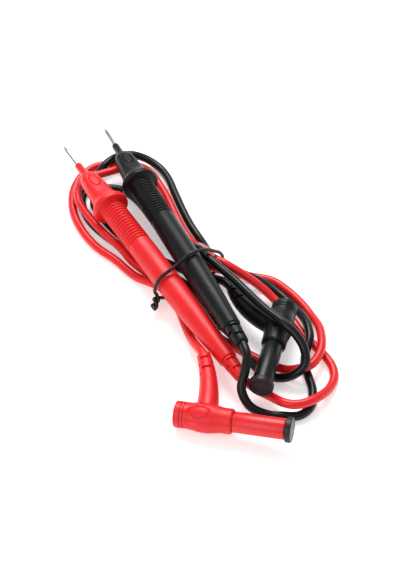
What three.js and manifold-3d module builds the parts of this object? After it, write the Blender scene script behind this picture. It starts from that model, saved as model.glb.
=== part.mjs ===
// A pair of multimeter test leads, one red and one black, folded into a hank and held by a twist tie.
// Each lead is a needle probe, a flexible cord and a right-angle shrouded 4 mm plug with its pull-off cap.
// Millimetres, +Z up. +Y runs along the bundle towards the probe tips, and the table is z = 0.

import * as THREE from 'three';
import { mergeVertices } from 'three/addons/utils/BufferGeometryUtils.js';
import Module from 'manifold-3d';

const wasm = await Module();
wasm.setup();

// ---------- driving dimensions ----------
const GAP = 0.3;                 // clearance kept between pieces that touch
const CORD_RADIUS = 1.8;
const CORD_SIDES = 8;
const WIRE_RADIUS = 1.0;         // insulated inner wire, inside a probe or a plug
const WIRE_BORE = 1.4;

// probe: stations are distances from the needle's point towards the cord
const PROBE_LENGTH = 152;
const NEEDLE_RADIUS = 0.95;
const NEEDLE_POINT = 3.4;        // length of the ground point
const NEEDLE_OUT = 14;           // bare length in front of the nose
const NOSE_RADIUS = 1.65;
const HEAD_START = 22;
const FLANGE_RADIUS = 8.1;
const FLANGE_START = 37;
const FLANGE_END = 46;
const GRIP_RADIUS = 5.35;
const RIB_START = 47;
const RIB_PITCH = 1.65;
const RIB_COUNT = 14;
const RIB_DEPTH = 0.5;
const HANDLE_END = 142;
const CORE_RADIUS = 2.6;
const CORE_END = 68;
const CUP_START = 56;            // crimp cup at the back of the needle
const CUP_END = 64;
const CUP_RADIUS = 1.7;

// plug: x runs along the pin towards the mating end, from the point where cord and pin axes meet
const PLUG_REAR = -11.8;
const PLUG_SHOULDER = 10.8;
const SHROUD_END = 31;
const SHROUD_RADIUS = 4.05;
const SHROUD_BORE = 3.2;
const PLUG_CORE_RADIUS = 3.5;
const PLUG_CORE_REAR = -5;
const PIN_RADIUS = 2.0;          // a 4 mm plug
const PIN_SEAT = 1.3;            // the waist that the contact spring turns on
const PIN_REAR = -3;
const PIN_TIP = 29.6;
const SPRING_START = 14.3;
const SPRING_END = 26.2;
const PLUG_BOOT_LENGTH = 30.5;   // from the pin's axis to the cord end of the boot
const CAP_RADIUS = 4.9;
const CAP_THICKNESS = 2.4;
const CAP_STEM = 4.3;             // stops short of the contact spring

// the whole bundle is moved by this, so that the origin is under the middle of its box
const BUNDLE_SHIFT = new THREE.Vector3(10.86, -1.89, -0.07);

// ---------- helpers ----------
// A closed, outward-facing geometry with shared vertices.
function closed(geometry) {
  geometry.deleteAttribute('normal');
  geometry.deleteAttribute('uv');
  const merged = mergeVertices(geometry, 1e-4);
  const p = merged.getAttribute('position');
  const kept = [];
  let volume = 0;
  const [a, b, c] = [new THREE.Vector3(), new THREE.Vector3(), new THREE.Vector3()];
  for (let i = 0; i < merged.index.count; i += 3) {
    const [i0, i1, i2] = [0, 1, 2].map((k) => merged.index.getX(i + k));
    if (i0 === i1 || i1 === i2 || i2 === i0) continue;
    kept.push(i0, i1, i2);
    a.fromBufferAttribute(p, i0);
    b.fromBufferAttribute(p, i1);
    c.fromBufferAttribute(p, i2);
    volume += a.dot(b.cross(c));
  }
  merged.setIndex(volume < 0 ? kept.reverse() : kept);
  return merged;
}

function toManifold(geometry) {
  const solid = closed(geometry);
  return new wasm.Manifold(new wasm.Mesh({
    numProp: 3,
    vertProperties: new Float32Array(solid.getAttribute('position').array),
    triVerts: new Uint32Array(solid.index.array),
  }));
}

function fromManifold(manifold) {
  const mesh = manifold.getMesh();
  const geometry = new THREE.BufferGeometry();
  geometry.setAttribute('position', new THREE.BufferAttribute(new Float32Array(mesh.vertProperties), 3));
  geometry.setIndex(Array.from(mesh.triVerts));
  return geometry;
}

// cut(body, a, b, ...) takes every other geometry away from the first one.
function cut(body, ...tools) {
  return fromManifold(tools.reduce((left, tool) => left.subtract(toManifold(tool)), toManifold(body)));
}

function join(...bodies) {
  return fromManifold(bodies.map(toManifold).reduce((left, right) => left.add(right)));
}

function overlap(first, second) {
  return fromManifold(toManifold(first).intersect(toManifold(second)));
}

// Turned solid around Y. The outline is [radius, y] pairs; a closed outline repeats its first pair.
function turned(outline, segments = 20) {
  return closed(new THREE.LatheGeometry(outline.map(([r, y]) => new THREE.Vector2(r, y)), segments));
}

// Turned solid around X, for the plug. The outline is [x, radius] pairs.
function turnedX(outline, segments = 20) {
  const geometry = turned(outline.map(([x, r]) => [r, x]), segments);
  geometry.rotateZ(-Math.PI / 2);
  return geometry;
}

// Joins rings of equal size into one closed skin, with a point at the middle of each end.
function skin(rings) {
  const sides = rings[0].length;
  const middle = (ring) => ring.reduce((sum, v) => sum.add(v), new THREE.Vector3()).divideScalar(sides);
  const points = [...rings.flat(), middle(rings[0]), middle(rings.at(-1))];
  const index = [];
  for (let k = 0; k < sides; k += 1) {
    const next = (k + 1) % sides;
    for (let i = 0; i + 1 < rings.length; i += 1) {
      const [a, b] = [i * sides, (i + 1) * sides];
      index.push(a + k, b + k, a + next, a + next, b + k, b + next);
    }
    const last = (rings.length - 1) * sides;
    index.push(k, next, rings.length * sides);
    index.push(last + next, last + k, rings.length * sides + 1);
  }
  const geometry = new THREE.BufferGeometry().setFromPoints(points);
  geometry.setIndex(index);
  return closed(geometry);
}

// Solid along Y whose sections are rounded rectangles: [station, half width, half height, squareness].
// Squareness 2 is an ellipse. Stations run back from the needle's point.
function sectioned(stations, sides = 20) {
  return skin(stations.map(([station, width, height, squareness = 2]) => {
    const ring = [];
    for (let k = 0; k < sides; k += 1) {
      const angle = (2 * Math.PI * (k + 0.5)) / sides;
      const [c, s] = [Math.cos(angle), Math.sin(angle)];
      const x = width * Math.sign(c) * Math.abs(c) ** (2 / squareness);
      const z = height * Math.sign(s) * Math.abs(s) ** (2 / squareness);
      ring.push(new THREE.Vector3(x, -station, z));
    }
    return ring;
  }));
}

// Round solid along an arc in the XY plane. It leaves the origin along +Y turned by lean towards -X,
// and turns by bend more over its length. The outline is [distance along the arc, radius] pairs.
function bent(outline, { lean, bend, length }, sides = 16) {
  const along = (distance) => {
    const angle = lean + (bend * distance) / length;
    const point = new THREE.Vector3();
    const steps = 24;
    for (let i = 0; i < steps; i += 1) {
      const here = lean + (bend * distance * (i + 0.5)) / (length * steps);
      point.x -= (Math.sin(here) * distance) / steps;
      point.y += (Math.cos(here) * distance) / steps;
    }
    return { point, across: new THREE.Vector3(Math.cos(angle), Math.sin(angle), 0) };
  };
  return skin(outline.map(([distance, radius]) => {
    const { point, across } = along(distance);
    const ring = [];
    for (let k = 0; k < sides; k += 1) {
      const angle = (2 * Math.PI * k) / sides;
      ring.push(point.clone().addScaledVector(across, radius * Math.cos(angle))
        .add(new THREE.Vector3(0, 0, radius * Math.sin(angle))));
    }
    return ring;
  }));
}

function box(x, y, z, at = [0, 0, 0]) {
  return new THREE.BoxGeometry(x, y, z).translate(...at);
}

function piece(name, geometry, material) {
  const mesh = new THREE.Mesh(geometry, material);
  mesh.name = name;
  return mesh;
}

// ---------- materials ----------
const finish = (color, roughness, metalness = 0) => () => (
  new THREE.MeshStandardMaterial({ color, roughness, metalness }));
const softRed = finish(0xe0262b, 0.5);
const softBlack = finish(0x1c1e20, 0.5);
const hardRed = finish(0xd8232a, 0.35);
const hardBlack = finish(0x17181a, 0.35);
const capBlack = finish(0x232426, 0.45);
const wireWhite = finish(0xe8e6df, 0.5);
const nickel = finish(0xc9c8c2, 0.25, 1);
const brass = finish(0xd9b25a, 0.3, 1);
const tieBlack = finish(0x202123, 0.4);
const steel = finish(0xb4b6b8, 0.35, 1);

// ---------- probe ----------
// The needle: a ground point, a plain rod, and a crimp cup that holds the inner wire.
function probeNeedle() {
  return turned([
    [0, 0], [0.28, -0.5], [NEEDLE_RADIUS, -NEEDLE_POINT], [NEEDLE_RADIUS, -CUP_START],
    [CUP_RADIUS, -CUP_START - 0.6], [CUP_RADIUS, -CUP_END], [WIRE_BORE, -CUP_END],
    [WIRE_BORE, -CUP_START - 2], [0, -CUP_START - 2],
  ], 12);
}

// The hard inner moulding: it is the slim nose in front of the grip, and a tube inside it.
function probeCore() {
  const bore = NEEDLE_RADIUS + GAP;
  const cupBore = CUP_RADIUS + GAP;
  const outline = [
    [bore, -NEEDLE_OUT], [1.45, -NEEDLE_OUT], [NOSE_RADIUS, -NEEDLE_OUT - 0.7],
    [NOSE_RADIUS + 0.15, -HEAD_START], [CORE_RADIUS, -HEAD_START - 1.5], [CORE_RADIUS, -CORE_END],
    [cupBore, -CORE_END],
    [cupBore, -CUP_START + 0.8], [bore, -CUP_START + 0.8], [bore, -NEEDLE_OUT],
  ];
  return turned(outline, 14);
}

// The soft grip: flat head with an oval recess, bell-shaped finger guard, ribs, and a long tapering handle.
function probeHandle() {
  const head = [
    [HEAD_START + 0.3, 2.9, 2.7, 2.2], [HEAD_START + 1.1, 3.5, 3.0, 2.6], [HEAD_START + 3, 4.0, 3.6, 2.8],
    [30, 4.6, 4.0, 2.8], [FLANGE_START, 5.3, 4.6, 2.5],
  ];
  const guard = [
    [40, 6.0, 5.5], [42, 7.1, 6.9], [43.3, 7.9, 7.9], [44.2, FLANGE_RADIUS, FLANGE_RADIUS],
    [45.6, 7.9, 7.9], [FLANGE_END, GRIP_RADIUS, GRIP_RADIUS],
  ];
  const ribs = [];
  for (let i = 0; i < RIB_COUNT; i += 1) {
    const start = RIB_START + i * RIB_PITCH;
    ribs.push([start, GRIP_RADIUS - RIB_DEPTH, GRIP_RADIUS - RIB_DEPTH]);
    ribs.push([start + RIB_PITCH / 2, GRIP_RADIUS, GRIP_RADIUS]);
  }
  const ribEnd = RIB_START + RIB_COUNT * RIB_PITCH;
  const handle = [
    [ribEnd, 4.95, 4.95], [ribEnd + 1.4, 5.3, 5.3], [98, 5.3, 5.3], [112, 5.05, 5.05],
    [126, 4.5, 4.5], [HANDLE_END - 0.6, 3.8, 3.8], [HANDLE_END, 3.5, 3.5],
  ];
  const outer = sectioned([...head, ...guard, ...ribs, ...handle]);
  const coreBore = CORE_RADIUS + GAP;
  const hollow = turned([
    [0, -HEAD_START + 1], [2.2, -HEAD_START + 1], [2.2, -HEAD_START - 0.3], [coreBore, -HEAD_START - 1.2],
    [coreBore, -CORE_END - GAP], [WIRE_BORE, -CORE_END - GAP], [WIRE_BORE, -HANDLE_END + 12],
    [2.6, -HANDLE_END + 12], [2.6, -HANDLE_END - 1], [0, -HANDLE_END - 1],
  ], 14);
  const rim = new THREE.Shape().absellipse(0, 0, 2.3, 4.0, 0, 2 * Math.PI);
  rim.holes.push(new THREE.Path().absellipse(0, 0, 1.8, 3.5, 0, 2 * Math.PI, true));
  const recess = new THREE.ExtrudeGeometry(rim, { depth: 3, bevelEnabled: false, curveSegments: 10 });
  recess.translate(0, -29.4, 3.55);
  return cut(outer, hollow, recess);
}

// Partial ring grooves, turn and turn about on the top and bottom and on the two sides of a boot.
function bootGrooves(stations, radius) {
  return stations.flatMap((station, row) => {
    const ring = turned([
      [radius - 0.75, -station], [radius + 2, -station], [radius + 2, -station - 1],
      [radius - 0.75, -station - 1], [radius - 0.75, -station],
    ], 16);
    const [wide, tall] = row % 2 ? [12, 3.6] : [3.6, 12];
    return [overlap(ring, box(wide, 4, tall, [0, -station, 0]))];
  });
}

// The strain relief: a plug that sits in the handle's end, and a slotted cone that the cord leaves.
function probeBoot() {
  const outline = [
    [WIRE_BORE, -HANDLE_END + 11.7], [2.3, -HANDLE_END + 11.7], [2.3, -HANDLE_END - GAP],
    [3.3, -HANDLE_END - GAP], [2.7, -PROBE_LENGTH + 0.6], [2.4, -PROBE_LENGTH],
    [WIRE_BORE, -PROBE_LENGTH], [WIRE_BORE, -HANDLE_END + 11.7],
  ];
  const first = HANDLE_END + 1.3;
  return cut(turned(outline, 16), ...bootGrooves([first, first + 2.3, first + 4.6], 2.95));
}

function probeWire() {
  return turned([
    [0, -CUP_START - 2 - GAP], [WIRE_RADIUS, -CUP_START - 2 - GAP], [WIRE_RADIUS, -PROBE_LENGTH],
    [0, -PROBE_LENGTH],
  ], 8);
}

// tip is where the needle's point is, tail is a point on the axis further back, roll turns about the axis.
function probe(colour, soft, hard, tip, tail, roll) {
  const group = new THREE.Group();
  const axis = new THREE.Vector3().subVectors(tip, tail).normalize();
  const side = new THREE.Vector3().crossVectors(axis, new THREE.Vector3(0, 0, 1)).normalize();
  const up = new THREE.Vector3().crossVectors(side, axis);
  group.quaternion.setFromRotationMatrix(new THREE.Matrix4().makeBasis(side, axis, up));
  group.rotateY(roll);
  group.position.copy(tip);
  group.add(piece(`${colour}_probe_needle`, probeNeedle(), nickel()));
  group.add(piece(`${colour}_probe_core`, probeCore(), hard()));
  group.add(piece(`${colour}_probe_handle`, probeHandle(), soft()));
  group.add(piece(`${colour}_probe_boot`, probeBoot(), soft()));
  group.add(piece(`${colour}_probe_wire`, probeWire(), wireWhite()));
  return group;
}

// ---------- plug ----------
// The pin: a rounded tip, a waist for the contact spring, and a rear barrel with a cross hole for the wire.
function plugPin(boot) {
  const body = turnedX([
    [PIN_REAR, 0], [PIN_REAR, PIN_RADIUS], [SPRING_START - GAP, PIN_RADIUS], [SPRING_START - GAP, PIN_SEAT],
    [SPRING_END + GAP, PIN_SEAT], [SPRING_END + GAP, PIN_RADIUS - 0.1], [PIN_TIP - 1.4, PIN_RADIUS - 0.2],
    [PIN_TIP - 0.4, 1.3], [PIN_TIP, 0.6], [PIN_TIP, 0],
  ], 14);
  return cut(body, bent([[0.2, WIRE_BORE], [4, WIRE_BORE]], boot, 10));
}

// The contact spring: a bowed cage of six leaves between two rings. It turns freely on the pin's waist.
function contactSpring() {
  const middle = (SPRING_START + SPRING_END) / 2;
  const inner = PIN_SEAT + GAP;
  const cage = turnedX([
    [SPRING_START, inner], [SPRING_START, inner + 0.3], [SPRING_START + 1.4, inner + 0.32],
    [middle - 2.4, 2.2], [middle, 2.3], [middle + 2.4, 2.2],
    [SPRING_END - 1.4, inner + 0.32], [SPRING_END, inner + 0.3], [SPRING_END, inner],
    [SPRING_END - 1.4, inner], [middle + 2.4, 1.88], [middle, 1.98], [middle - 2.4, 1.88],
    [SPRING_START + 1.4, inner], [SPRING_START, inner],
  ], 18);
  const slots = [0, 1, 2].map((i) => box(SPRING_END - SPRING_START - 3.2, 0.55, 8, [middle, 0, 0])
    .rotateX(((i + 0.25) * Math.PI) / 3));
  return cut(cage, ...slots);
}

// The hard insulator: a tube round the pin inside the moulded body, and the touch-proof shroud in front.
function plugInsulator(boot) {
  const bore = PIN_RADIUS + GAP;
  const body = turnedX([
    [PLUG_CORE_REAR, 0], [PLUG_CORE_REAR, PLUG_CORE_RADIUS], [PLUG_SHOULDER + 0.4, PLUG_CORE_RADIUS],
    [PLUG_SHOULDER + 0.4, SHROUD_RADIUS], [SHROUD_END - 0.4, SHROUD_RADIUS],
    [SHROUD_END, SHROUD_RADIUS - 0.3], [SHROUD_END, SHROUD_BORE], [PLUG_SHOULDER + 1.6, SHROUD_BORE],
    [PLUG_SHOULDER + 1.6, bore],
    [PIN_REAR - GAP, bore], [PIN_REAR - GAP, 0],
  ], 20);
  return cut(body, bent([[1, WIRE_BORE], [5.5, WIRE_BORE]], boot, 10));
}

// The moulded body: three rear rings, a swell where the cord comes in, and the slotted boot of the cord.
function plugBody(boot) {
  const shell = turnedX([
    [PLUG_REAR, 0], [PLUG_REAR, 4.9], [PLUG_REAR + 0.4, 5.2], [-9.6, 5.2], [-9.3, 4.8], [-8.9, 4.8],
    [-8.6, 5.15], [-7.6, 5.15], [-7.3, 4.8], [-6.9, 4.8], [-6.6, 5.1], [-5, 5.2], [-2.4, 5.7], [0, 5.85],
    [2.4, 5.7], [5, 5.15], [6.4, 4.95], [PLUG_SHOULDER - 0.7, 4.95], [PLUG_SHOULDER, 4.4], [PLUG_SHOULDER, 0],
  ], 24);
  const cone = bent([
    [0, 4.2], [6, 4.15], [14, 3.7], [22, 3.2], [PLUG_BOOT_LENGTH - 1, 2.75], [PLUG_BOOT_LENGTH, 2.4],
  ], boot, 18);
  const bore = bent([
    [0, WIRE_BORE], [8, WIRE_BORE], [16, WIRE_BORE], [24, WIRE_BORE], [PLUG_BOOT_LENGTH + 1, WIRE_BORE],
  ], boot, 10);
  const room = turnedX([
    [PLUG_CORE_REAR - GAP, 0], [PLUG_CORE_REAR - GAP, PLUG_CORE_RADIUS + GAP],
    [PLUG_SHOULDER + 1, PLUG_CORE_RADIUS + GAP], [PLUG_SHOULDER + 1, 0],
  ], 20);
  const grooves = [];
  for (let row = 0; row < 4; row += 1) {
    const near = PLUG_BOOT_LENGTH - 2.8 - row * 2.5;
    const ring = cut(
      bent([[near - 0.9, 5], [near, 5]], boot, 18),
      bent([[near - 1.5, 2.2 + row * 0.13], [near + 0.5, 2.2 + row * 0.13]], boot, 18),
    );
    const slab = row % 2 ? box(60, 60, 3.2) : box(60, 60, 12, [0, 0, 6 + 1.6]);
    grooves.push(overlap(ring, slab.translate(0, 20, 0)));
    if (row % 2 === 0) grooves.push(overlap(ring, box(60, 60, 12, [0, 20, -6 - 1.6])));
  }
  const rim = new THREE.Shape().absellipse(0, 0, 4.4, 2.6, 0, 2 * Math.PI);
  rim.holes.push(new THREE.Path().absellipse(0, 0, 3.9, 2.1, 0, 2 * Math.PI, true));
  const recess = new THREE.ExtrudeGeometry(rim, { depth: 3, bevelEnabled: false, curveSegments: 10 });
  recess.translate(-1.8, -1.2, 4.7);
  return cut(join(shell, cone), room, bore, recess, ...grooves);
}

function plugWire(boot) {
  return bent([
    [0.6, WIRE_RADIUS], [8, WIRE_RADIUS], [16, WIRE_RADIUS], [24, WIRE_RADIUS],
    [PLUG_BOOT_LENGTH, WIRE_RADIUS],
  ], boot, 8);
}

// The transport cap: a flange over the shroud's mouth and a hollow stem that goes in round the pin.
function plugCap() {
  const face = SHROUD_END + GAP;
  const inner = 2.3 + GAP;
  const outer = SHROUD_BORE - GAP;
  const end = face + CAP_THICKNESS;
  return turnedX([
    [face + 0.5, 0], [face + 0.5, inner], [face - CAP_STEM, inner], [face - CAP_STEM, outer],
    [face, outer], [face, CAP_RADIUS], [face + 0.5, CAP_RADIUS], [end - 0.5, CAP_RADIUS],
    [end, CAP_RADIUS - 0.5], [end, 0],
  ], 20);
}

// at is where the axes meet, forward is the pin's direction, and the boot leaves towards side (+1 or -1).
function plug(colour, soft, hard, at, forward, side, roll, boot) {
  const group = new THREE.Group();
  const up = new THREE.Vector3(0, 0, side);
  const across = new THREE.Vector3().crossVectors(up, forward).normalize();
  up.crossVectors(forward, across);
  group.quaternion.setFromRotationMatrix(new THREE.Matrix4().makeBasis(forward.clone(), across, up));
  group.rotateX(roll);
  group.position.copy(at);
  group.add(piece(`${colour}_plug_pin`, plugPin(boot), brass()));
  group.add(piece(`${colour}_plug_spring`, contactSpring(), nickel()));
  group.add(piece(`${colour}_plug_insulator`, plugInsulator(boot), hard()));
  group.add(piece(`${colour}_plug_body`, plugBody(boot), soft()));
  group.add(piece(`${colour}_plug_wire`, plugWire(boot), wireWhite()));
  group.add(piece(`${colour}_plug_cap`, plugCap(), capBlack()));
  return group;
}

// ---------- cords ----------
// Centre lines from the end of the probe's boot to the end of the plug's boot. Each cord goes four times
// through the tie, in a loop beyond either end of it.
const RED_ROUTE = [
  [-12.4, -60.8, 8.9], [-12.3, -61.5, 8.85], [-11.1, -63.4, 7.6], [-8.6, -65.2, 4.9],
  [-5.3, -68.4, 3.2], [-4.2, -72.4, 4.4], [-3.2, -76.2, 5.9], [-0.5, -79.1, 6.3], [3.6, -80.5, 6.3],
  [8.4, -80.2, 5.9], [13.6, -78.2, 4.2], [18.8, -75, 2.5], [22.8, -71, 1.96],
  [24.9, -66, 1.96], [25.2, -61, 1.96], [24.4, -54, 1.96], [23.2, -47, 1.96], [23.2, -38, 1.96],
  [23.2, -31, 1.96],
  [22.2, -24.5, 2.8], [19.4, -17.5, 5.4], [14.8, -10.5, 8.6], [9.8, -3.6, 11.2], [6.8, 1.5, 11.6],
  [6.5, 8, 10.2], [7.1, 14, 6.9], [7.6, 21, 2.6], [7.7, 30, 1.96], [8.8, 40, 1.96], [11, 54, 1.96],
  [11.6, 63, 2.2], [10.6, 69, 4.2], [7.5, 73, 6], [2, 75.6, 5.9], [-4, 76, 6.1], [-10, 76.4, 6.1],
  [-16.5, 76.6, 6], [-22.8, 72.5, 5.9], [-26.2, 65, 5.9], [-26.4, 54, 5.7], [-24.6, 41, 5.5],
  [-21.8, 30, 4.6], [-20.4, 23, 3], [-17, 13, 2.3], [-13.5, 5, 3.6], [-11.2, -1, 3.9], [-11, -11, 2.7],
  [-9.9, -22, 1.96], [-6.8, -34, 1.96], [-1, -46, 1.96], [4, -54.5, 1.96], [7.6, -60, 3], [11, -63.3, 5.2],
  [15.5, -64.4, 6], [20.5, -61.8, 6], [25, -57, 5.9], [29.4, -48, 4.8], [31.2, -38, 2.4],
  [31.3, -30, 1.96], [29.8, -21, 1.96], [27, -13.2, 1.96], [20.5, -7, 1.96], [13.2, -1.5, 3.1],
  [8.1, 3, 3.9], [5.9, 8.5, 3.2], [4.5, 14, 2], [3.6, 21, 1.96], [3.4, 32, 1.96], [4.5, 46, 1.96],
  [5, 60, 1.96], [4.6, 70, 1.96], [3, 78, 1.96], [-1.2, 84, 1.96], [-7.5, 86.6, 1.96], [-16, 84, 1.96],
  [-24, 76, 1.96], [-29.4, 64, 1.96], [-31, 51, 1.96], [-29.8, 39, 1.96], [-26, 28, 1.96], [-22.6, 15, 2],
  [-17.8, 5, 3.6], [-15.2, -2, 3.9], [-15.3, -11, 2.7], [-16.6, -19, 2], [-18.4, -27, 3.8],
  [-19.6, -33.5, 6.2], [-20, -39, 8.1], [-20.2, -42.3, 8.8],
];
const BLACK_ROUTE = [
  [-8.2, -53, 18.3], [-9.4, -58, 17.5], [-12.5, -62.3, 14.3], [-15.9, -66, 9.8], [-15, -71.2, 4.9],
  [-10, -76.4, 2.6], [-4.5, -79.4, 1.96], [1, -81.9, 1.96], [7, -80, 1.96], [11.6, -73.5, 1.96],
  [13.8, -66.5, 1.96], [15.5, -60.5, 2.1], [18.5, -56, 4.2], [22.6, -51.6, 5.9], [25.4, -45, 5.9],
  [26.8, -38.5, 4.6], [27.3, -31, 2.4], [26, -22, 2.1], [23.2, -15, 3.2], [17.8, -9, 5.2],
  [12.6, -4.2, 7], [9.1, 0.8, 7.7], [8.4, 5.2, 7.3], [9.3, 10, 5.5], [11, 16, 3], [11.7, 23, 1.96],
  [12, 32, 1.96], [13.2, 42, 1.96], [15.2, 54, 1.96], [17, 65, 1.96], [16.6, 73, 2.1], [13, 79.4, 3.8],
  [7, 83, 5.8], [0, 84, 5.9], [-6, 82, 5.3], [-11.5, 79, 2.7], [-16.6, 75.2, 1.96], [-22.4, 70, 1.96],
  [-25.3, 61, 1.96], [-25.4, 52, 1.96], [-22.8, 41, 1.96], [-19.6, 32, 1.96], [-16.4, 24, 1.96],
  [-13.2, 14, 1.96], [-9.4, 5.5, 3.5], [-7.2, -0.5, 3.9], [-6.9, -10, 2.8], [-5.8, -22, 2.8],
  [-4.9, -31, 5.4], [-4.2, -38, 6.1], [-3.7, -44, 5.8], [-3.3, -50, 3.7], [-1.2, -56, 2],
  [2.8, -62, 2.6], [7.8, -65.8, 6], [12.3, -65.8, 10], [14.2, -61, 13.4], [13.3, -55.5, 16.6],
  [10.8, -49, 18.7], [8.8, -41, 18.3], [7.5, -30, 17.2], [6.2, -18, 16.4], [4.2, -7, 15.8],
  [2.9, 0.5, 15.4], [3.2, 7.5, 13.4], [2.9, 14, 9], [0.4, 21, 4.4], [-0.9, 28.5, 2.3], [-1.1, 35, 1.95],
  [-1, 44, 1.96], [-1.6, 57, 1.96], [-4.2, 66, 1.96], [-10, 70.8, 1.96], [-16, 69.6, 1.96],
  [-19.6, 63.5, 1.96], [-19.8, 53, 1.96], [-17.2, 38, 1.96], [-12.4, 25.5, 1.96], [-7.2, 16, 1.96],
  [-2.6, 7.5, 2.8], [0.9, 1, 4.2], [4, -4.4, 5.8], [6.2, -9.6, 7.6], [6.7, -14.6, 8.4],
];
const CORD_STEPS = 84;

function polygon(radius, sides) {
  const points = [];
  for (let k = 0; k < sides; k += 1) {
    const angle = (2 * Math.PI * (k + 0.5)) / sides;
    points.push(new THREE.Vector2(radius * Math.cos(angle), radius * Math.sin(angle)));
  }
  return points;
}

function curveThrough(points) {
  return new THREE.CatmullRomCurve3(points.map((p) => new THREE.Vector3(...p)), false, 'centripetal');
}

function tube(shape, extrudePath, steps) {
  return closed(new THREE.ExtrudeGeometry(shape, { steps, bevelEnabled: false, extrudePath }));
}

function cord(name, route, material) {
  const section = new THREE.Shape(polygon(CORD_RADIUS, CORD_SIDES));
  return piece(name, tube(section, curveThrough(route), CORD_STEPS), material);
}

// ---------- twist tie ----------
const TIE_RADIUS = 0.75;
const TIE_BORE = 0.52;
const TIE_WIRE = 0.22;
const TAIL_TURN = 1;             // turns that the two tails make about each other
const TAIL_SPREAD = 0.95;        // from the twist's axis to each tail
const TAIL_ROOT = [-21.2, -3.0, 5.7];
const TAIL_TIP = [-25.0, -7.6, 4.4];
// The loop round the bundle, seen along it: [across, up] from the upper tail's root to the lower one's.
const TIE_LOOP = [
  [-22.4, 9.6], [-22, 13.2], [-19.8, 16.6], [-16, 18.2], [-12.4, 19.2], [-8.2, 21.4], [-4.6, 22.3],
  [-0.6, 21], [4, 18.5], [7.2, 15.6], [10.3, 12.5], [12.1, 8.4], [12.1, 5], [10.8, 1.96], [7.6, 0.95],
  [2, 0.9], [-6, 0.9], [-13, 0.9], [-15.6, 1.1], [-18.4, 2.7],
];

function tiePath() {
  const root = new THREE.Vector3(...TAIL_ROOT);
  const tip = new THREE.Vector3(...TAIL_TIP);
  const axis = tip.clone().sub(root).normalize();
  const side = new THREE.Vector3().crossVectors(new THREE.Vector3(0, 0, 1), axis).normalize();
  const up = new THREE.Vector3().crossVectors(axis, side);
  const strand = (phase) => [0, 0.25, 0.5, 0.75, 1].map((t) => {
    const angle = phase + 2 * Math.PI * TAIL_TURN * t;
    return root.clone().lerp(tip, t).addScaledVector(up, TAIL_SPREAD * Math.cos(angle))
      .addScaledVector(side, TAIL_SPREAD * Math.sin(angle));
  });
  const loop = TIE_LOOP.map(([x, z]) => new THREE.Vector3(x, -2 + (x + 17.6) * 0.18 - (z - 4) * 0.12, z));
  const points = [...strand(0).reverse(), ...loop, ...strand(Math.PI)];
  return new THREE.CatmullRomCurve3(points, false, 'centripetal');
}

function twistTie() {
  const path = tiePath();
  const coat = new THREE.Shape(polygon(TIE_RADIUS, 8));
  coat.holes.push(new THREE.Path(polygon(TIE_BORE, 8).reverse()));
  const wire = new THREE.Shape(polygon(TIE_WIRE, 6));
  return [
    piece('tie_coat', tube(coat, path, 80), tieBlack()),
    piece('tie_wire', tube(wire, path, 80), steel()),
  ];
}

const vector = (x, y, z) => new THREE.Vector3(x, y, z);
const degrees = Math.PI / 180;

const bundle = new THREE.Group();
bundle.position.copy(BUNDLE_SHIFT);
bundle.add(probe('red', softRed, hardRed, vector(-21.2, 91.6, 14.8), vector(-12.5, -60, 8.93), 4 * degrees));
bundle.add(probe('black', softBlack, hardBlack, vector(1.9, 99.4, 10.8), vector(-8.1, -52.2, 18.2),
  4 * degrees));
bundle.add(plug('red', softRed, hardRed, vector(-33.3, -70, 6.4), vector(0.745, -0.661, 0.087).normalize(), 1,
  6 * degrees, { lean: 3 * degrees, bend: 25 * degrees, length: PLUG_BOOT_LENGTH }));
bundle.add(plug('black', softBlack, hardBlack, vector(12.2, -44.8, 10.8),
  vector(-0.657, -0.754, 0.026).normalize(), -1, 4 * degrees,
  { lean: 16 * degrees, bend: 46 * degrees, length: PLUG_BOOT_LENGTH }));
bundle.add(cord('red_cord', RED_ROUTE, softRed()));
bundle.add(cord('black_cord', BLACK_ROUTE, softBlack()));
twistTie().forEach((part) => bundle.add(part));

export default bundle;
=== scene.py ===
"""Two multimeter test leads, one red and one black, folded together and held by a twist tie.

Each lead is a needle probe, a limp cord and a right-angle shrouded 4 mm plug with a transport cap. Metres,
+Z up, +Y along the bundle towards the probe tips, table at z = 0.
"""
import math

import bpy
from mathutils import Matrix, Vector


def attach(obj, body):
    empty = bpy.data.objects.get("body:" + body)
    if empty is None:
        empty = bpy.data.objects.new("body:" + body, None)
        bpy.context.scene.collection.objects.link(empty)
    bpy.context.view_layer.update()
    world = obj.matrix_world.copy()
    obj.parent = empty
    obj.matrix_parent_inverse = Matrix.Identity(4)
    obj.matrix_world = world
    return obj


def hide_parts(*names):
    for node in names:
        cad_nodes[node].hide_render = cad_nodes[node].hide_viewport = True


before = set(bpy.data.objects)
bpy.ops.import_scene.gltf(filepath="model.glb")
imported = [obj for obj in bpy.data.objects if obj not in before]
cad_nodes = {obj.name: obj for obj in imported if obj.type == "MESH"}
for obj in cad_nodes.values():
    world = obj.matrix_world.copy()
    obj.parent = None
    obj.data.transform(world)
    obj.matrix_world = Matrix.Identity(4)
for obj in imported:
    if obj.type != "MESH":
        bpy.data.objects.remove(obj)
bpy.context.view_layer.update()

# ---------- camera ----------
# Looks down at the bundle at 45 degrees, from the plug end and a little to the left of it.
MM = 0.001
BUNDLE_SHIFT = Vector((10.86, -1.89, -0.07)) * MM     # puts the origin under the middle of the bundle
camera = bpy.data.objects.new("camera", bpy.data.cameras.new("camera"))
bpy.context.scene.collection.objects.link(camera)
bpy.context.scene.camera = camera
camera.data.sensor_width = 36
camera.data.lens = 97
camera.data.clip_start = 0.01
camera.data.clip_end = 20
camera.location = BUNDLE_SHIFT + Vector((-205.4, -403.2, 452.5)) * MM
camera.rotation_mode = "QUATERNION"
camera.rotation_quaternion = (BUNDLE_SHIFT - camera.location).to_track_quat("-Z", "Y")


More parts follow.
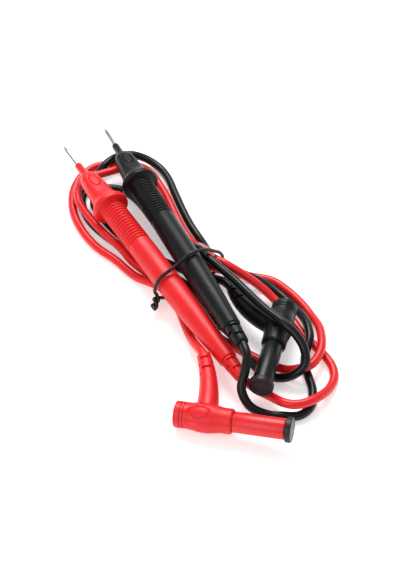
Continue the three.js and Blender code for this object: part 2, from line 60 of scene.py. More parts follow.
# ---------- cords ----------
# Soft PVC hose over fine stranded wire, very limp, with a smoother and glossier skin than the mouldings.
# Each starts a little way inside the probe's boot, goes four times through the tie, and ends a little way
# inside the plug's boot.
CORD_DIAMETER = 3.6 * MM
RED_ROUTE = [
    (-0.0126, -0.0586, 0.009), (-0.0124, -0.0608, 0.0089), (-0.0123, -0.0615, 0.00885),
    (-0.0111, -0.0634, 0.0076), (-0.0086, -0.0652, 0.0049), (-0.0053, -0.0684, 0.0032),
    (-0.0042, -0.0724, 0.0044), (-0.0032, -0.0762, 0.0059), (-0.0005, -0.0791, 0.0063),
    (0.0036, -0.0805, 0.0063), (0.0084, -0.0802, 0.0059), (0.0136, -0.0782, 0.0042),
    (0.0188, -0.075, 0.0025), (0.0228, -0.071, 0.00196), (0.0249, -0.066, 0.00196),
    (0.0252, -0.061, 0.00196), (0.0244, -0.054, 0.00196), (0.0232, -0.047, 0.00196),
    (0.0232, -0.038, 0.00196), (0.0232, -0.031, 0.00196), (0.0222, -0.0245, 0.0028),
    (0.0194, -0.0175, 0.0054), (0.0148, -0.0105, 0.0086), (0.0098, -0.0036, 0.0112),
    (0.0068, 0.0015, 0.0116), (0.0065, 0.008, 0.0102), (0.0071, 0.014, 0.0069), (0.0076, 0.021, 0.0026),
    (0.0077, 0.03, 0.00196), (0.0088, 0.04, 0.00196), (0.011, 0.054, 0.00196), (0.0116, 0.063, 0.0022),
    (0.0106, 0.069, 0.0042), (0.0075, 0.073, 0.006), (0.002, 0.0756, 0.0059), (-0.004, 0.076, 0.0061),
    (-0.01, 0.0764, 0.0061), (-0.0165, 0.0766, 0.006), (-0.0228, 0.0725, 0.0059), (-0.0262, 0.065, 0.0059),
    (-0.0264, 0.054, 0.0057), (-0.0246, 0.041, 0.0055), (-0.0218, 0.03, 0.0046), (-0.0204, 0.023, 0.003),
    (-0.017, 0.013, 0.0023), (-0.0135, 0.005, 0.0036), (-0.0112, -0.001, 0.0039), (-0.011, -0.011, 0.0027),
    (-0.0099, -0.022, 0.00196), (-0.0068, -0.034, 0.00196), (-0.001, -0.046, 0.00196),
    (0.004, -0.0545, 0.00196), (0.0076, -0.06, 0.003), (0.011, -0.0633, 0.0052), (0.0155, -0.0644, 0.006),
    (0.0205, -0.0618, 0.006), (0.025, -0.057, 0.0059), (0.0294, -0.048, 0.0048), (0.0312, -0.038, 0.0024),
    (0.0313, -0.03, 0.00196), (0.0298, -0.021, 0.00196), (0.027, -0.0132, 0.00196),
    (0.0205, -0.007, 0.00196), (0.0132, -0.0015, 0.0031), (0.0081, 0.003, 0.0039),
    (0.0059, 0.0085, 0.0032), (0.0045, 0.014, 0.002), (0.0036, 0.021, 0.00196), (0.0034, 0.032, 0.00196),
    (0.0045, 0.046, 0.00196), (0.005, 0.06, 0.00196), (0.0046, 0.07, 0.00196), (0.003, 0.078, 0.00196),
    (-0.0012, 0.084, 0.00196), (-0.0075, 0.0866, 0.00196), (-0.016, 0.084, 0.00196),
    (-0.024, 0.076, 0.00196), (-0.0294, 0.064, 0.00196), (-0.031, 0.051, 0.00196),
    (-0.0298, 0.039, 0.00196), (-0.026, 0.028, 0.00196), (-0.0226, 0.015, 0.002), (-0.0178, 0.005, 0.0036),
    (-0.0152, -0.002, 0.0039), (-0.0153, -0.011, 0.0027), (-0.0166, -0.019, 0.002),
    (-0.0184, -0.027, 0.0038), (-0.0196, -0.0335, 0.0062), (-0.02, -0.039, 0.0081),
    (-0.0202, -0.0423, 0.0088), (-0.0206, -0.044, 0.0087),
]
BLACK_ROUTE = [
    (-0.008, -0.0507, 0.0181), (-0.0082, -0.053, 0.0183), (-0.0094, -0.058, 0.0175),
    (-0.0125, -0.0623, 0.0143), (-0.0159, -0.066, 0.0098), (-0.015, -0.0712, 0.0049),
    (-0.01, -0.0764, 0.0026), (-0.0045, -0.0794, 0.00196), (0.001, -0.0819, 0.00196),
    (0.007, -0.08, 0.00196), (0.0116, -0.0735, 0.00196), (0.0138, -0.0665, 0.00196),
    (0.0155, -0.0605, 0.0021), (0.0185, -0.056, 0.0042), (0.0226, -0.0516, 0.0059),
    (0.0254, -0.045, 0.0059), (0.0268, -0.0385, 0.0046), (0.0273, -0.031, 0.0024), (0.026, -0.022, 0.0021),
    (0.0232, -0.015, 0.0032), (0.0178, -0.009, 0.0052), (0.0126, -0.0042, 0.007), (0.0091, 0.0008, 0.0077),
    (0.0084, 0.0052, 0.0073), (0.0093, 0.01, 0.0055), (0.011, 0.016, 0.003), (0.0117, 0.023, 0.00196),
    (0.012, 0.032, 0.00196), (0.0132, 0.042, 0.00196), (0.0152, 0.054, 0.00196), (0.017, 0.065, 0.00196),
    (0.0166, 0.073, 0.0021), (0.013, 0.0794, 0.0038), (0.007, 0.083, 0.0058), (0, 0.084, 0.0059),
    (-0.006, 0.082, 0.0053), (-0.0115, 0.079, 0.0027), (-0.0166, 0.0752, 0.00196),
    (-0.0224, 0.07, 0.00196), (-0.0253, 0.061, 0.00196), (-0.0254, 0.052, 0.00196),
    (-0.0228, 0.041, 0.00196), (-0.0196, 0.032, 0.00196), (-0.0164, 0.024, 0.00196),
    (-0.0132, 0.014, 0.00196), (-0.0094, 0.0055, 0.0035), (-0.0072, -0.0005, 0.0039),
    (-0.0069, -0.01, 0.0028), (-0.0058, -0.022, 0.0028), (-0.0049, -0.031, 0.0054),
    (-0.0042, -0.038, 0.0061), (-0.0037, -0.044, 0.0058), (-0.0033, -0.05, 0.0037),
    (-0.0012, -0.056, 0.002), (0.0028, -0.062, 0.0026), (0.0078, -0.0658, 0.006), (0.0123, -0.0658, 0.01),
    (0.0142, -0.061, 0.0134), (0.0133, -0.0555, 0.0166), (0.0108, -0.049, 0.0187),
    (0.0088, -0.041, 0.0183), (0.0075, -0.03, 0.0172), (0.0062, -0.018, 0.0164), (0.0042, -0.007, 0.0158),
    (0.0029, 0.0005, 0.0154), (0.0032, 0.0075, 0.0134), (0.0029, 0.014, 0.009), (0.0004, 0.021, 0.0044),
    (-0.0009, 0.0285, 0.0023), (-0.0011, 0.035, 0.00195), (-0.001, 0.044, 0.00196),
    (-0.0016, 0.057, 0.00196), (-0.0042, 0.066, 0.00196), (-0.01, 0.0708, 0.00196),
    (-0.016, 0.0696, 0.00196), (-0.0196, 0.0635, 0.00196), (-0.0198, 0.053, 0.00196),
    (-0.0172, 0.038, 0.00196), (-0.0124, 0.0255, 0.00196), (-0.0072, 0.016, 0.00196),
    (-0.0026, 0.0075, 0.0028), (0.0009, 0.001, 0.0042), (0.004, -0.0044, 0.0058),
    (0.0062, -0.0096, 0.0076), (0.0067, -0.0146, 0.0084), (0.0068, -0.0168, 0.0088),
]


# The linear colour of a hex colour.
def linear(hex_colour):
    channels = [int(hex_colour[i:i + 2], 16) / 255 for i in (1, 3, 5)]
    return [c / 12.92 if c <= 0.04045 else ((c + 0.055) / 1.055) ** 2.4 for c in channels] + [1]


# Adds a node, with its settings, its values and its links.
def add(tree, kind, sockets=None, **settings):
    made = tree.nodes.new(kind)
    for key, value in settings.items():
        setattr(made, key, value)
    for key, value in (sockets or {}).items():
        if isinstance(value, bpy.types.NodeSocket):
            tree.links.new(value, made.inputs[key])
        else:
            made.inputs[key].default_value = value
    return made.outputs


DRIFT_SIZE = 14 * MM          # patches of slightly different tone
RUB_SIZE, RUB_STRETCH = 0.9 * MM, 0.07
GRAIN_DEPTH = 0.12 * MM
EDGE_STARTS, EDGE_WORN = 0.53, 0.66      # sharpness of an edge where wear begins and where it is full


# A moulded, extruded or plated surface. Its colour drifts between two close tones, its edges are
# rubbed lighter, fine rub marks run along the bundle, and it has a grain of the size given in mm.
def surface(name, colour, shade, worn, rough, grain, relief, metal=0.0, ior=1.5, specular=0.5):
    made = bpy.data.materials.new(name)
    made.use_nodes = True
    tree = made.node_tree
    shader = tree.nodes["Principled BSDF"]
    place = add(tree, "ShaderNodeTexCoord")["Object"]
    drift = add(tree, "ShaderNodeTexNoise", {"Vector": place, "Scale": 1 / DRIFT_SIZE, "Detail": 4.0})["Fac"]
    tones = add(tree, "ShaderNodeMix", {0: drift, 6: linear(shade), 7: linear(colour)}, data_type="RGBA")[2]
    corner = add(tree, "ShaderNodeNewGeometry")["Pointiness"]
    edge = add(tree, "ShaderNodeMapRange", {"Value": corner, "From Min": EDGE_STARTS,
                                             "From Max": EDGE_WORN})["Result"]
    rubbed = add(tree, "ShaderNodeMix", {0: edge, 6: tones, 7: linear(worn)}, data_type="RGBA")[2]
    tree.links.new(rubbed, shader.inputs["Base Color"])

    along = add(tree, "ShaderNodeMapping", {"Vector": place, "Scale": (1.0, RUB_STRETCH, 1.0)})["Vector"]
    rub = add(tree, "ShaderNodeTexNoise", {"Vector": along, "Scale": 1 / RUB_SIZE, "Detail": 3.0})["Fac"]
    low, high = rough
    gloss = add(tree, "ShaderNodeMapRange", {"Value": rub, "From Min": 0.3, "From Max": 0.7, "To Min": low,
                                             "To Max": high})["Result"]
    tree.links.new(gloss, shader.inputs["Roughness"])

    fine = add(tree, "ShaderNodeTexNoise", {"Vector": place, "Scale": 1 / (grain * MM), "Detail": 3.0})["Fac"]
    bumps = add(tree, "ShaderNodeBump", {"Height": fine, "Strength": relief,
                                         "Distance": GRAIN_DEPTH})["Normal"]
    tree.links.new(bumps, shader.inputs["Normal"])
    shader.inputs["Metallic"].default_value = metal
    shader.inputs["IOR"].default_value = ior
    shader.inputs["Specular IOR Level"].default_value = specular
    return made


# A round wire through points. The handles make it equal to the centripetal spline of the same points.
def wire(name, points, diameter, material, sides):
    data = bpy.data.curves.new(name, "CURVE")
    data.dimensions = "3D"
    data.bevel_depth = diameter / 2
    data.bevel_resolution = sides
    data.resolution_u = 8
    data.use_fill_caps = True
    line = data.splines.new("BEZIER")
    line.bezier_points.add(len(points) - 1)
    ends = [2 * points[0] - points[1], *points, 2 * points[-1] - points[-2]]
    for i, bezier in enumerate(line.bezier_points):
        before, here, after = ends[i:i + 3]
        back, ahead = math.sqrt((here - before).length), math.sqrt((after - here).length)
        slope = (here - before) / back - (after - before) / (back + ahead) + (after - here) / ahead
        bezier.co = here
        bezier.handle_left_type = bezier.handle_right_type = "FREE"
        bezier.handle_left = here - slope * back / 3
        bezier.handle_right = here + slope * ahead / 3
    data.materials.append(material)
    made = bpy.data.objects.new(name, data)
    bpy.context.scene.collection.objects.link(made)
    return made


cord_red = surface("red_extruded_pvc", "#E0141B", "#CE0F17", "#F23A3E", (0.25, 0.4), 0.6, 0.04, specular=0.4)
cord_black = surface("black_extruded_pvc", "#080A0D", "#040506", "#202326", (0.22, 0.38), 0.6, 0.04,
                     specular=0.28)
for colour, route, material in (("red", RED_ROUTE, cord_red), ("black", BLACK_ROUTE, cord_black)):
    points = [Vector(p) + BUNDLE_SHIFT for p in route]
    cord = wire(f"{colour}_flexible_cord", points, CORD_DIAMETER, material, 5)
    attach(cord, "bundle")
    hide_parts(f"{colour}_cord")

# ---------- probe grips ----------
# Soft vinyl moulded over the hard inner tube: a flat head with an oval recess, a bell-shaped guard for the
# fingers, fourteen ribs and a long taper. The fine pebble of the mould spreads the highlight into a band.
# Stations are millimetres back from the needle's point. Across is local X, the recess faces local +Z.
# Each probe's colour, the point of its needle and the end of its boot.
PROBES = [("red", Vector((-21.2, 91.6, 14.8)), Vector((-12.5, -60, 8.93))),
          ("black", Vector((1.9, 99.4, 10.8)), Vector((-8.1, -52.2, 18.2)))]
PROBE_ROLL = math.radians(4)
# Station, half width, half height and squareness of the section (2 is round).
HEAD = [(22.3, 2.9, 2.7, 2.2), (22.7, 3.2, 2.85, 2.4), (23.3, 3.5, 3.1, 2.6), (25, 4.0, 3.6, 2.8),
        (30, 4.6, 4.0, 2.8), (37, 5.3, 4.6, 2.5)]
GUARD = [(40, 6.0, 5.5, 2.0), (42, 7.1, 6.9, 2.0), (43.3, 7.9, 7.9, 2.0), (43.9, 8.08, 8.08, 2.0),
         (44.6, 8.08, 8.08, 2.0), (45.4, 7.9, 7.9, 2.0), (45.8, 7.4, 7.4, 2.0), (46, 5.6, 5.6, 2.0),
         (46.4, 5.3, 5.3, 2.0)]
HANDLE = [(70.6, 5.25, 5.25, 2.0), (71.5, 5.28, 5.28, 2.0), (98, 5.28, 5.28, 2.0), (112, 5.03, 5.03, 2.0),
          (126, 4.48, 4.48, 2.0), (141.2, 3.78, 3.78, 2.0), (141.8, 3.68, 3.68, 2.0), (142, 3.4, 3.4, 2.0)]
GRIP_BORE = [(142, 2.6), (130, 2.6), (130, 1.4), (68.3, 1.4), (68.3, 2.9), (23.2, 2.9), (22.3, 2.2)]
RIB_START, RIB_PITCH, RIB_COUNT = 47, 1.65, 14
RIB_RADIUS, RIB_DEPTH = 5.34, 0.8
RIB_STEPS = 8                            # rings of points to a rib
HEAD_OVAL = (0.0, 29.4, 2.05, 3.75)      # middle across, middle station, half width, half length
OVAL_DEPTH, OVAL_WIDTH = 0.5, 0.12       # the width is a share of the oval's own size
ROUND = 2.0
FINE_STEP, COARSE_STEP = 0.25, 3.0
SHARP_EDGE = math.radians(38)


# Joins rings of points. A hollow piece comes back along its inside to where it began.
def skin(name, rings, material, body, place, hollow=True):
    sides = len(rings[0])
    loops = len(rings) if hollow else len(rings) - 1
    faces = []
    for i in range(loops):
        a, b = i * sides, ((i + 1) % len(rings)) * sides
        faces += [(a + k, a + (k + 1) % sides, b + (k + 1) % sides, b + k) for k in range(sides)]
    if not hollow:
        faces += [tuple(range(sides))[::-1], tuple(range(loops * sides, (loops + 1) * sides))]
    mesh = bpy.data.meshes.new(name)
    mesh.from_pydata([place @ (v * MM) for ring in rings for v in ring], [], faces)
    mesh.update()
    mesh.polygons.foreach_set("use_smooth", [True] * len(mesh.polygons))
    mesh.set_sharp_from_angle(angle=SHARP_EDGE)
    mesh.materials.append(material)
    made = bpy.data.objects.new(name, mesh)
    bpy.context.scene.collection.objects.link(made)
    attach(made, body)
    return made


# Evenly spaced angles once round.
def angles(sides):
    return [2 * math.pi * k / sides for k in range(sides)]


# Round rings across local Y, for the probe: station and radius of each.
def probe_rings(outline, sides=64):
    return [[Vector((r * math.cos(a), -station, r * math.sin(a))) for a in angles(sides)]
            for station, r in outline]


# A smooth run through rows of numbers, about one row for each step of the first number.
def smooth(rows, step):
    samples = []
    for i in range(len(rows) - 1):
        p0, p1, p2, p3 = rows[max(i - 1, 0)], rows[i], rows[i + 1], rows[min(i + 2, len(rows) - 1)]
        count = max(1, math.ceil(abs(p2[0] - p1[0]) / step))
        for k in range(count):
            t = k / count
            row = [p1[0] + (p2[0] - p1[0]) * t]
            for a, b, c, d in list(zip(p0, p1, p2, p3))[1:]:
                value = ((2 * t**3 - 3 * t**2 + 1) * b + (t**3 - 2 * t**2 + t) * (c - a) / 2
                         + (3 * t**2 - 2 * t**3) * c + (t**3 - t**2) * (d - b) / 2)
                row.append(min(max(value, min(b, c)), max(b, c)))
            samples.append(row)
    return samples + [list(rows[-1])]


# How deep the ring-shaped recess is at a place on the face that carries it.
def oval_groove(across, along, oval):
    middle_across, middle_along, half_across, half_along = oval
    reach = math.hypot((across - middle_across) / half_across, (along - middle_along) / half_along)
    return OVAL_DEPTH * math.exp(-(((reach - 1) / OVAL_WIDTH) ** 2))


# The grip's outside from the head to the boot, then its bore on the way back.
def grip_rings(sides=104):
    rows = smooth(HEAD + GUARD, FINE_STEP)
    for k in range(RIB_COUNT * RIB_STEPS + 1):
        groove = RIB_DEPTH * (0.5 + 0.5 * math.cos(2 * math.pi * k / RIB_STEPS)) ** 2
        radius = RIB_RADIUS - groove
        rows.append([RIB_START + k * RIB_PITCH / RIB_STEPS, radius, radius, ROUND])
    rings = []
    for station, width, height, squareness in rows + smooth(HANDLE, COARSE_STEP):
        ring = []
        for a in angles(sides):
            c, s = math.cos(a), math.sin(a)
            x = width * math.copysign(abs(c) ** (2 / squareness), c)
            z = height * math.copysign(abs(s) ** (2 / squareness), s)
            if z > 0:
                z -= oval_groove(x, station, HEAD_OVAL)
            ring.append(Vector((x, -station, z)))
        rings.append(ring)
    return rings + probe_rings(GRIP_BORE, sides)


vinyl_red = surface("red_moulded_vinyl", "#E2141B", "#D21018", "#F23A3E", (0.34, 0.52), 0.45, 0.07,
                    specular=0.4)
vinyl_black = surface("black_moulded_vinyl", "#090B0E", "#050608", "#24272B", (0.34, 0.5), 0.45, 0.07,
                      specular=0.22)
vinyls = {"red": vinyl_red, "black": vinyl_black}
probe_places = {}
for colour, tip, tail in PROBES:
    axis = (tip - tail).normalized()
    side = axis.cross(Vector((0, 0, 1))).normalized()
    turn = Matrix((side, axis, side.cross(axis))).transposed().to_4x4()
    place = Matrix.Translation(tip * MM + BUNDLE_SHIFT) @ turn @ Matrix.Rotation(PROBE_ROLL, 4, "Y")
    probe_places[colour] = place
    grip = skin(f"{colour}_grip_moulding", grip_rings(), vinyls[colour], "bundle", place)
    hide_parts(f"{colour}_probe_handle")

# ---------- probe boots ----------
# A slotted vinyl cone that lets the cord bend gently, pushed into the end of the grip. Rows of part-ring
# slots lie turn and turn about on its top and bottom and on its two sides.
BOOT_SLOTS = [143.3, 145.6, 147.9]
SLOT_DEPTH = 0.7
SLOT_SINE = 0.62                         # sine of half the angle that a slot takes
SLOT_EDGE, SLOT_MARGIN, SLOT_SLACK = 0.05, 0.2, 0.01
BOOT_SLOT_WIDTH = 1.0
BOOT_START, BOOT_TAPER = 142.3, 9.1      # where it leaves the grip, and over what length it narrows
BOOT_RADIUS, BOOT_NARROWING = 3.3, 0.6
LIP_START, LIP_RADIUS, LIP_SLOPE = 151.4, 2.7, 0.5
BOOT_BORE = [(152, 1.4), (130.3, 1.4), (130.3, 2.3), (142.3, 2.3)]


# Stations just before, in and after each slot, so that its walls stand straight.
def slot_stations(slots, width):
    steps = (-SLOT_MARGIN, 0, SLOT_EDGE, width - SLOT_EDGE, width, width + SLOT_MARGIN)
    return [near + step for near in slots for step in steps]


# The radius at a station and angle of a cone with such slots.
def slotted(radius, station, angle, slots, width):
    for row, near in enumerate(slots):
        part = math.sin(angle) if row % 2 else math.cos(angle)
        if near - SLOT_SLACK <= station <= near + width + SLOT_SLACK and abs(part) < SLOT_SINE:
            return radius - SLOT_DEPTH
    return radius


# The boot's outside from the grip to its lip, then its bore on the way back.
def probe_boot_rings(sides=72):
    rings = []
    slots = slot_stations(BOOT_SLOTS, BOOT_SLOT_WIDTH)
    for station in [BOOT_START, 142.6, *slots, 150, LIP_START, 151.8, 152]:
        taper = BOOT_RADIUS - BOOT_NARROWING * (station - BOOT_START) / BOOT_TAPER
        if station > LIP_START:
            taper = LIP_RADIUS - (station - LIP_START) * LIP_SLOPE
        ring = []
        for a in angles(sides):
            r = slotted(taper, station, a, BOOT_SLOTS, BOOT_SLOT_WIDTH)
            ring.append(Vector((r * math.cos(a), -station, r * math.sin(a))))
        rings.append(ring)
    return rings + probe_rings(BOOT_BORE, sides)


for colour, place in probe_places.items():
    boot = skin(f"{colour}_probe_strain_relief", probe_boot_rings(), vinyls[colour], "bundle",
                place)
    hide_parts(f"{colour}_probe_boot")

# ---------- probe noses ----------
# The hard nylon tube that the needle is held in. Only its slim front end shows, with a small round rim.
# It is moulded in a polished tool, so it is glossier than the grip.
# Station and radius, here and for the needle.
NOSE = [(14, 1.25), (14, 1.4), (14.15, 1.55), (14.7, 1.65), (22, 1.8), (23.5, 2.6), (68, 2.6), (68, 2.0),
        (55.2, 2.0), (55.2, 1.25)]
nylon_red = surface("red_polished_nylon", "#DE141B", "#CE1018", "#F04448", (0.26, 0.38), 0.7, 0.03,
                    ior=1.53, specular=0.4)
nylon_black = surface("black_polished_nylon", "#090A0C", "#050607", "#222528", (0.25, 0.38), 0.7, 0.03,
                      ior=1.53, specular=0.26)
nylons = {"red": nylon_red, "black": nylon_black}
for colour, place in probe_places.items():
    nose = skin(f"{colour}_nose", probe_rings(NOSE), nylons[colour], "bundle", place)
    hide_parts(f"{colour}_probe_core")

# ---------- needles ----------
# A steel rod, ground to a point and plated with bright nickel. A cup at the back is crimped on the wire.
NEEDLE = [(0.02, 0.05), (0.15, 0.2), (0.5, 0.3), (3.3, 0.93), (3.6, 0.95), (56, 0.95), (56.6, 1.7), (64, 1.7),
          (64, 1.4), (58, 1.4), (58, 0.1)]
nickel = surface("bright_nickel_plate", "#CBCAC6", "#B2B0AB", "#EDECE8", (0.14, 0.3), 0.35, 0.04, metal=1.0)
for colour, place in probe_places.items():
    needle = skin(f"{colour}_needle", probe_rings(NEEDLE, 40), nickel, "bundle", place,
                  hollow=False)
    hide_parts(f"{colour}_probe_needle")

# ---------- plug bodies ----------
# One soft vinyl moulding: three rings at the rear, a swell where the cord comes in, an oval recess, and a
# long slotted boot that bends with the cord. The shell and the boot are drawn as two pieces that meet
# inside the swell. Local X runs along the pin to its mating end, and the boot leaves along local +Y.
# Each plug's colour, the middle of its swell, where its pin points, which way up local Z is, its roll, and
# the boot's lean and bend. The last three are in degrees.
PLUGS = [("red", Vector((-33.3, -70, 6.4)), Vector((0.745, -0.661, 0.087)), 1, 6, (3, 25)),
         ("black", Vector((12.2, -44.8, 10.8)), Vector((-0.657, -0.754, 0.026)), -1, 4, (16, 46))]
# Distance along the pin and radius, here and for the shroud and the caps.
SHELL = [(-11.8, 4.7), (-11.7, 4.95), (-11.4, 5.18), (-9.7, 5.2), (-9.45, 5.1), (-9.4, 4.75), (-9.1, 4.75),
         (-9.05, 5.1), (-8.9, 5.16), (-8.3, 5.16), (-8.15, 5.1), (-8.1, 4.75), (-7.8, 4.75), (-7.75, 5.1),
         (-7.5, 5.12), (-6.4, 5.12), (-5, 5.25), (-2.4, 5.7), (0, 5.84), (2.4, 5.7), (5, 5.2), (6.4, 4.96),
         (8, 4.93), (10.1, 4.93), (10.5, 4.75), (10.8, 4.4)]
SHELL_BORE = [(10.8, 3.8), (-5.3, 3.8), (-5.3, 0.3), (-11.8, 0.3)]
PLUG_OVAL = (-1.8, -1.2, 4.15, 2.35)
CONE = [(0, 4.2), (6, 4.15), (14, 3.7), (22, 3.2), (29.5, 2.75), (30.2, 2.65), (30.5, 2.4)]
CONE_LENGTH = 30.5
CONE_SLOTS = [19.3, 21.8, 24.3, 26.8]
CONE_SLOT_WIDTH = 0.9
WIRE_BORE = 1.4


# Round rings across local X, for the plug: distance along the pin and radius of each.
def plug_rings(outline, sides=64):
    return [[Vector((x, r * math.cos(a), r * math.sin(a))) for a in angles(sides)] for x, r in outline]


# The shell's outside with its oval recess, then its bore on the way back.
def shell_rings(sides=96):
    rings = []
    for (x0, r0), (x1, r1) in zip(SHELL, [*SHELL[1:], SHELL[-1]]):
        count = max(1, math.ceil((x1 - x0) / FINE_STEP))
        for k in range(count):
            rings += plug_rings([(x0 + (x1 - x0) * k / count, r0 + (r1 - r0) * k / count)], sides)
    for v in (v for ring in rings for v in ring if v.z > 0):
        v.z -= oval_groove(v.x, v.y, PLUG_OVAL)
    return rings + plug_rings(SHELL_BORE, sides)


# The boot starts lean degrees off the square and bends by bend degrees more over its length.
def cone_rings(lean, bend, sides=72):
    outside, inside = [], []
    centre, reached = Vector((0, 0, 0)), 0.0
    slots = slot_stations(CONE_SLOTS, CONE_SLOT_WIDTH)
    for station in [0, 3, 6, 9, 12, 15, 17, *slots, 29.3, 29.5, 30.2, 30.4, CONE_LENGTH]:
        steps = 8
        for k in range(steps):
            middle = reached + (station - reached) * (k + 0.5) / steps
            here = math.radians(lean + bend * middle / CONE_LENGTH)
            centre = centre + Vector((-math.sin(here), math.cos(here), 0)) * (station - reached) / steps
        reached = station
        here = math.radians(lean + bend * station / CONE_LENGTH)
        across = Vector((math.cos(here), math.sin(here), 0))
        taper = next(r0 + (r1 - r0) * (station - s0) / (s1 - s0)
                     for (s0, r0), (s1, r1) in zip(CONE, CONE[1:]) if station <= s1)
        for rings, plain in ((outside, None), (inside, WIRE_BORE)):
            ring = []
            for a in angles(sides):
                r = plain or slotted(taper, station, a + math.pi / 2, CONE_SLOTS, CONE_SLOT_WIDTH)
                ring.append(centre + across * r * math.cos(a) + Vector((0, 0, r * math.sin(a))))
            rings.append(ring)
    return outside + inside[::-1]


plug_places = {}
for colour, at, forward, boot_side, roll, flex in PLUGS:
    forward.normalize()
    across = Vector((0, 0, boot_side)).cross(forward).normalized()
    turn = Matrix((forward, across, forward.cross(across))).transposed().to_4x4()
    place = Matrix.Translation(at * MM + BUNDLE_SHIFT) @ turn @ Matrix.Rotation(math.radians(roll), 4, "X")
    plug_places[colour] = place
    shell = skin(f"{colour}_plug_shell", shell_rings(), vinyls[colour], "bundle", place)
    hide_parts(f"{colour}_plug_body")
    skin(f"{colour}_plug_strain_relief", cone_rings(*flex), vinyls[colour], "bundle", place)

# ---------- plug shrouds ----------
# The hard tube that keeps fingers off the live pin, of the same polished nylon as the probe's nose. Its
# mouth is rounded, and behind the shoulder it goes on as a thinner tube inside the soft body.
SHROUD = [(-5, 3.5), (11.2, 3.5), (11.2, 4.0), (11.3, 4.05), (30.6, 4.05), (30.85, 3.98), (31, 3.8),
          (31, 3.2), (12.4, 3.2), (12.4, 2.3), (-3.3, 2.3), (-3.3, 0.2), (-5, 0.2)]
for colour, place in plug_places.items():
    shroud = skin(f"{colour}_shroud", plug_rings(SHROUD), nylons[colour], "bundle", place)
    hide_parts(f"{colour}_plug_insulator")

# ---------- pins, contact springs and inner wires ----------
# The pins are turned brass with a thin gold plate, and the springs are stamped and nickel plated. The inner
# wires are white PVC over copper. They sit inside the mouldings and are kept in their plain shapes.
gold = surface("gold_plated_brass", "#D8B45E", "#C9A24C", "#F0D590", (0.18, 0.32), 0.4, 0.03, metal=1.0)
white_pvc = surface("white_wire_pvc", "#E9E7E0", "#DAD7CE", "#FFFFFF", (0.35, 0.5), 0.5, 0.04)
for colour in plug_places:
    for part, material in (("plug_pin", gold), ("plug_spring", nickel), ("plug_wire", white_pvc),
                           ("probe_wire", white_pvc)):
        mesh = cad_nodes[f"{colour}_{part}"].data
        mesh.materials.clear()
        mesh.materials.append(material)

# ---------- transport caps ----------
# A black polypropylene cup whose stem goes into the shroud round the pin, with a slightly domed disc let
# into its end: grey on the red plug, near black on the black one. Both have the dull skin of a cheap mould.
CAP_RIM = [(31.8, 2.6), (27, 2.6), (27, 2.9), (31.3, 2.9), (31.3, 4.6), (31.45, 4.85), (31.7, 4.9),
           (33.1, 4.9), (33.4, 4.82), (33.55, 4.6), (33.55, 4.2), (31.8, 4.2)]
CAP_DISC = [(31.9, 0.2), (31.9, 4.15), (33.4, 4.15), (33.5, 3.9), (33.6, 3.0), (33.67, 1.5), (33.7, 0.2)]
rim_plastic = surface("black_polypropylene", "#131416", "#0D0E0F", "#34363A", (0.34, 0.48), 0.5, 0.06,
                      ior=1.49, specular=0.35)
disc_grey = surface("grey_polypropylene", "#575A5E", "#484B4E", "#7C7F83", (0.36, 0.5), 0.5, 0.06, ior=1.49)
disc_dark = surface("dark_polypropylene", "#1E191B", "#151213", "#38322F", (0.36, 0.5), 0.5, 0.06, ior=1.49,
                    specular=0.35)
for colour, disc_material in (("red", disc_grey), ("black", disc_dark)):
    body, place = f"{colour}_plug_cap", plug_places[colour]
    rim = skin(f"{colour}_cap_rim", plug_rings(CAP_RIM), rim_plastic, body, place)
    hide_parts(f"{colour}_plug_cap")
    skin(f"{colour}_cap_disc", plug_rings(CAP_DISC), disc_material, body, place, hollow=False)

# ---------- twist tie ----------
# A soft steel wire in a black PE coat, once round the whole bundle, with its two tails twisted about each
# other at the lower left. The coat is thin and shiny.
TAIL_ROOT = Vector((-21.2, -3.0, 5.7))
TAIL_TIP = Vector((-25.0, -7.6, 4.4))
TAIL_SPREAD = 0.95
TIE_PIVOT = (-17.6, -2, 4)               # a point of the plane that the loop lies in
TIE_SLANT, TIE_LEAN = 0.18, 0.12         # its slope along the bundle, across and up
COAT_DIAMETER = 1.5 * MM
# The loop seen along the bundle: across and up, from the upper tail's root to the lower one's.
TIE_LOOP = [(-22.4, 9.6), (-22, 13.2), (-19.8, 16.6), (-16, 18.2), (-12.4, 19.2), (-8.2, 21.4), (-4.6, 22.3),
            (-0.6, 21), (4, 18.5), (7.2, 15.6), (10.3, 12.5), (12.1, 8.4), (12.1, 5), (10.8, 1.96),
            (7.6, 0.95), (2, 0.9), (-6, 0.9), (-13, 0.9), (-15.6, 1.1), (-18.4, 2.7)]
coat_plastic = surface("black_polyethylene", "#0E0F11", "#08090A", "#2C2E31", (0.26, 0.44), 0.6, 0.05,
                       ior=1.51, specular=0.35)
steel = surface("drawn_steel_wire", "#AEB0B2", "#98999B", "#DADBDC", (0.28, 0.42), 0.4, 0.03, metal=1.0)
tail_axis = (TAIL_TIP - TAIL_ROOT).normalized()
tail_side = Vector((0, 0, 1)).cross(tail_axis).normalized()
tail_up = tail_axis.cross(tail_side)


# One of the two twisted tails, from the loop to the tip.
def tail(phase):
    strand = []
    for t in (0, 0.25, 0.5, 0.75, 1):
        angle = phase + 2 * math.pi * t
        spread = tail_up * math.cos(angle) + tail_side * math.sin(angle)
        strand.append(TAIL_ROOT.lerp(TAIL_TIP, t) + spread * TAIL_SPREAD)
    return strand


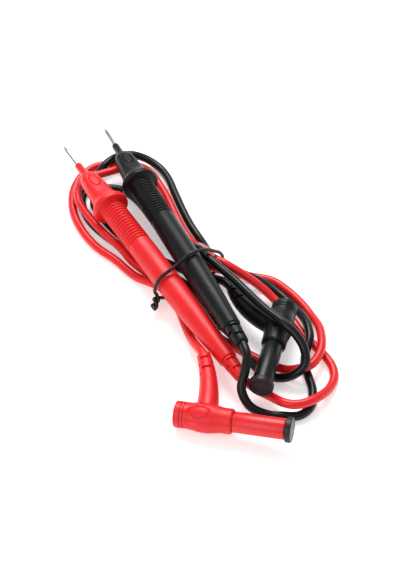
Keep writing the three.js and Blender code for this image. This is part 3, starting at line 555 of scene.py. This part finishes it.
pivot_x, pivot_y, pivot_z = TIE_PIVOT
loop = [Vector((x, pivot_y + (x - pivot_x) * TIE_SLANT - (z - pivot_z) * TIE_LEAN, z)) for x, z in TIE_LOOP]
tie_points = [p * MM + BUNDLE_SHIFT for p in [*reversed(tail(0)), *loop, *tail(math.pi)]]
coat = wire("tie_sleeve", tie_points, COAT_DIAMETER, coat_plastic, 3)
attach(coat, "bundle")
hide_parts("tie_coat")
cad_nodes["tie_wire"].data.materials.clear()
cad_nodes["tie_wire"].data.materials.append(steel)

# ---------- table and light ----------
# A white table that is lit from below as well as above, as for a catalogue, so that shadows stay faint. One
# broad lamp behind and above gives the long highlights, and a weaker one fills from the left.
TABLE_SIZE, TABLE_DROP = 6, 0.0001
LAMPS = [("back_lamp", (0.25, 0.55, 0.9), 0.7, 11), ("fill_lamp", (-0.8, -0.5, 0.7), 0.9, 4)]
bpy.ops.mesh.primitive_plane_add(size=TABLE_SIZE, location=(0, 0, -TABLE_DROP))
table = bpy.context.object
table.name = "table"
paper = bpy.data.materials.new("white_backlit_paper")
paper.use_nodes = True
sheet = paper.node_tree.nodes["Principled BSDF"]
sheet.inputs["Base Color"].default_value = (0.93, 0.93, 0.93, 1)
sheet.inputs["Roughness"].default_value = 0.9
sheet.inputs["Emission Color"].default_value = (1, 1, 1, 1)
sheet.inputs["Emission Strength"].default_value = 0.4
table.data.materials.append(paper)

sky = bpy.data.worlds.new("sky")
sky.use_nodes = True
sky.node_tree.nodes["Background"].inputs["Color"].default_value = (1, 1, 1, 1)
sky.node_tree.nodes["Background"].inputs["Strength"].default_value = 0.55
bpy.context.scene.world = sky
bpy.context.scene.view_settings.view_transform = "Standard"
for name, place, size, power in LAMPS:
    light = bpy.data.lights.new(name, "AREA")
    light.shape = "DISK"
    light.size = size
    light.energy = power
    lamp = bpy.data.objects.new(name, light)
    bpy.context.scene.collection.objects.link(lamp)
    lamp.location = place
    lamp.rotation_mode = "QUATERNION"
    lamp.rotation_quaternion = (-Vector(place)).to_track_quat("-Z", "Y")
